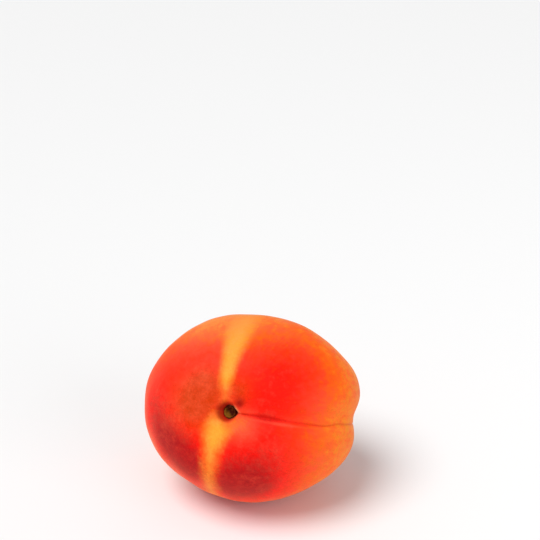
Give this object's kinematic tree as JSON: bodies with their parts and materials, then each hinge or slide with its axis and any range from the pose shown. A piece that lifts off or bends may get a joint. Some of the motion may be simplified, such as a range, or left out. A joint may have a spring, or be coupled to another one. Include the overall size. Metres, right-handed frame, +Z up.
{
  "type": "apricot",
  "caption": "Ripe whole apricot lying on one cheek, with a suture down one side, a stem pit and the stub of its stalk.",
  "frame": {"origin": "middle of the small flat spot that the fruit rests on", "axes": "+Z up; -Y towards the stem pit's side; +X along the fruit's longest extent, towards the side that the suture runs down"},
  "size_m": [0.0496, 0.0444, 0.0428],
  "materials": {
    "skin": "velvety, with a fine down",
    "stalk": "dry and rough"
  },
  "bodies": {
    "root": {"fruit": "skin", "stem_stub": "stalk"}
  },
  "joints": []
}
